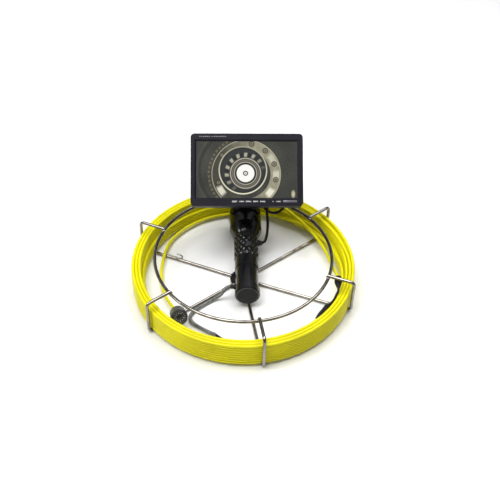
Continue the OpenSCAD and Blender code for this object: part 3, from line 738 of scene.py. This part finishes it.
KEY_SIGNS = [
    [(-3.6, 0.2, -0.6, 0.9), (-0.2, 0.2, 1.4, 0.9), (1.9, 0.2, 3.6, 0.9),
     (-3.6, -0.9, 2.2, -0.3)],
    [(-3.4, -0.3, -0.8, 0.4), (-0.4, -0.9, 0.4, 0.9), (0.9, -0.3, 3.6, 0.4)],
    [(-3.8, -0.9, -2.9, 0.9), (-2.4, -0.1, 0.4, 0.8), (0.9, -0.9, 1.7, 0.9),
     (2.1, -0.2, 3.8, 0.5)],
    [(-3.6, 0.3, -1.2, 0.9), (-3.6, -0.9, -1.2, -0.3), (-0.7, -0.9, 0.2, 0.9),
     (0.7, -0.3, 3.6, 0.5)],
    [(-3.4, -0.9, -2.6, 0.9), (-2.1, -0.3, 1.0, 0.4), (1.5, -0.9, 2.4, 0.9),
     (2.8, -0.9, 3.6, 0.1)],
    [(-3.0, -0.3, -0.4, 0.4), (0.0, -0.9, 0.8, 0.9), (1.2, -0.3, 3.0, 0.4)],
]


def key_signs(ink):
    """A generic printed sign on each key."""
    names = [f"monitor_key_{i}" for i in range(1, 6)] + ["monitor_power_key"]
    for name, x, strokes in zip(names, KEY_X, KEY_SIGNS):
        bm = bmesh.new()
        for x0, y0, x1, y1 in strokes:
            add_block(bm, (x + x0, KEY_Y + y0, 0.78), (x + x1, KEY_Y + y1, 0.88))
        add_piece(name + "_sign", bm, ink, name + "_body", ON_MONITOR)


def monitor_trim(ink):
    """Small things on the monitor's front: a lamp, a plain plate and a row of ticks."""
    lamp = bmesh.new()
    made = bmesh.ops.create_uvsphere(lamp, u_segments=16, v_segments=10,
                                     radius=0.8 * MM)["verts"]
    bmesh.ops.translate(lamp, vec=(39.5 * MM, KEY_Y * MM, 0), verts=made)
    add_piece("status_lamp", lamp, ink, "monitor", ON_MONITOR)
    plate = add_block(bmesh.new(), (54.8, -50.2, -0.2), (76, -47, 0.35), 0.15)
    tone = finish("plate_grey", (0.22, 0.22, 0.24), (0.15, 0.15, 0.17), 0.35, 0.6)
    add_piece("plain_plate", plate, tone, "monitor", ON_MONITOR)
    ticks = bmesh.new()
    for i in range(14):
        gap = 1.5 if i > 5 else 0
        long = 2.1 + 0.7 * noise.noise((i * 1.7, 0.3, 0))
        x = -72.5 + i * 2.9 + gap
        add_block(ticks, (x, 50.4, -0.1), (x + long, 51.5, 0.06))
    grey = finish("grey_ink", (0.30, 0.30, 0.33), (0.2, 0.2, 0.22), 0.6)
    add_piece("scale_ticks", ticks, grey, "monitor", ON_MONITOR)


# ---- floor and light -----------------------------------------------------------------------

def floor_finish():
    """A white sweep whose far part is dark, so polished rods have something to mirror."""
    material = finish("floor_white", (0.92, 0.92, 0.92), (0.90, 0.90, 0.90), 0.7,
                      height=0.000001)
    tree = material.node_tree
    shader = tree.nodes["Principled BSDF"]
    white = shader.inputs["Base Color"].links[0].from_socket
    place = tree.nodes.new("ShaderNodeTexCoord")
    far = tree.nodes.new("ShaderNodeVectorMath")
    far.operation = "LENGTH"
    tree.links.new(place.outputs["Object"], far.inputs[0])
    spread = tree.nodes.new("ShaderNodeMapRange")
    spread.interpolation_type = "SMOOTHSTEP"
    spread.inputs["From Min"].default_value = 0.95
    spread.inputs["From Max"].default_value = 1.8
    tree.links.new(far.outputs["Value"], spread.inputs["Value"])
    mix = tree.nodes.new("ShaderNodeMix")
    mix.data_type = "RGBA"
    mix.inputs["B"].default_value = (0.10, 0.10, 0.10, 1)
    tree.links.new(spread.outputs["Result"], mix.inputs["Factor"])
    tree.links.new(white, mix.inputs["A"])
    tree.links.new(mix.outputs["Result"], shader.inputs["Base Color"])
    return material


def studio():
    """The floor, three round lamps and a dim sky that brightens upward."""
    bm = bmesh.new()
    bmesh.ops.create_grid(bm, x_segments=1, y_segments=1, size=4)
    mesh = bpy.data.meshes.new("floor")
    bm.to_mesh(mesh)
    bm.free()
    floor = bpy.data.objects.new("floor", mesh)
    floor.location.z = -0.0003
    scene.collection.objects.link(floor)
    mesh.materials.append(floor_finish())
    for name, place, size, power in (("key_light", (-0.8, -0.35, 2.5), 1.7, 45),
                                     ("top_light", (0.6, 0.5, 2.3), 1.9, 36),
                                     ("side_light", (-1.8, -0.3, 1.1), 0.35, 5)):
        data = bpy.data.lights.new(name, "AREA")
        data.shape = "DISK"
        data.size = size
        data.energy = power
        lamp = bpy.data.objects.new(name, data)
        lamp.location = place
        aim = Vector((0, 0, 0.05)) - Vector(place)
        lamp.rotation_euler = aim.to_track_quat("-Z", "Y").to_euler()
        scene.collection.objects.link(lamp)
    world = bpy.data.worlds.new("studio")
    scene.world = world
    world.use_nodes = True
    tree = world.node_tree
    sky = tree.nodes["Background"]
    place = tree.nodes.new("ShaderNodeTexCoord")
    split = tree.nodes.new("ShaderNodeSeparateXYZ")
    ramp = tree.nodes.new("ShaderNodeValToRGB")
    tree.links.new(place.outputs["Generated"], split.inputs[0])
    tree.links.new(split.outputs["Z"], ramp.inputs["Fac"])
    ramp.color_ramp.elements[0].position = 0.05
    ramp.color_ramp.elements[0].color = (0.04, 0.04, 0.04, 1)
    ramp.color_ramp.elements[1].position = 0.75
    ramp.color_ramp.elements[1].color = (0.55, 0.55, 0.55, 1)
    tree.links.new(ramp.outputs["Color"], sky.inputs["Color"])
    sky.inputs["Strength"].default_value = 0.6
    scene.view_settings.view_transform = "Standard"
    scene.view_settings.look = "None"


def dress_cad_nodes():
    """Gives every CAD node the finish of its material slot."""
    for part in frame["record"]["subparts"]:
        mesh = nodes[part["node"]].data
        mesh.materials.clear()
        mesh.materials.append(FINISHES[part["material_slot"]])


place_camera()
dress_cad_nodes()
camera_face()
push_cable()
crossing_lead()
loose_leads()
weld_beads()
grip()
button_trim()
monitor_front()
monitor_picture()
ink = white_ink()
key_signs(ink)
monitor_trim(ink)
studio()
